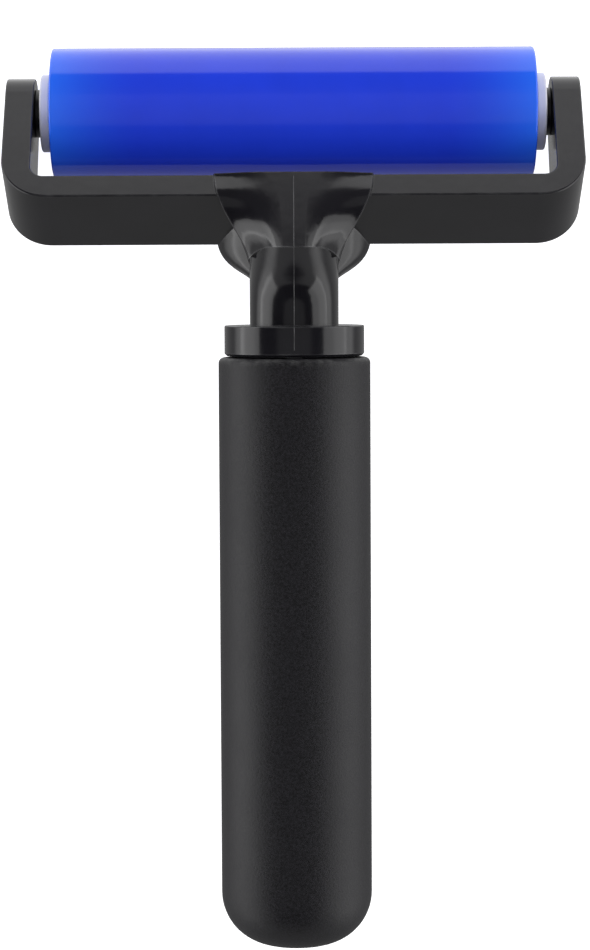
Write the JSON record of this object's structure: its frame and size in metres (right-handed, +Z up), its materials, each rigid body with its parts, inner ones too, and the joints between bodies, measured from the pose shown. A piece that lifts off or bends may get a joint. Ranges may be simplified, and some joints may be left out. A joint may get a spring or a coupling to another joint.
{
  "type": "rubber brayer",
  "caption": "Hand brayer: a soft roller turns on an axle in a leaning U-shaped frame with a flared neck and a long round grip.",
  "frame": {"origin": "centre of the footprint, on the surface that the brayer lies on", "axes": "+X along the roller's axis, +Y from the grip's free end to the roller, +Z up, away from the surface"},
  "size_m": [0.1202, 0.1888, 0.0422],
  "materials": {
    "frame_plastic": "black moulded plastic, semi-gloss",
    "grip_plastic": "black fine-grained matte",
    "roller_silicone": "smooth glossy blue silicone rubber",
    "core_plastic": "off-white moulded plastic",
    "spacer_plastic": "black moulded plastic",
    "axle_steel": "drawn steel rod"
  },
  "bodies": {
    "frame": {"yoke_frame": "frame_plastic", "grip": "grip_plastic", "axle": "axle_steel", "spacer_left": "spacer_plastic", "spacer_right": "spacer_plastic"},
    "roller": {"roller_sleeve": "roller_silicone", "core_tube": "core_plastic", "end_bushing_left": "core_plastic", "end_bushing_right": "core_plastic"}
  },
  "joints": [
    {"name": "roller_spin", "type": "hinge", "parent": "frame", "child": "roller", "pos_m": [0, 0.0808, 0.0136], "axis": [1, 0, 0], "continuous": true}
  ]
}
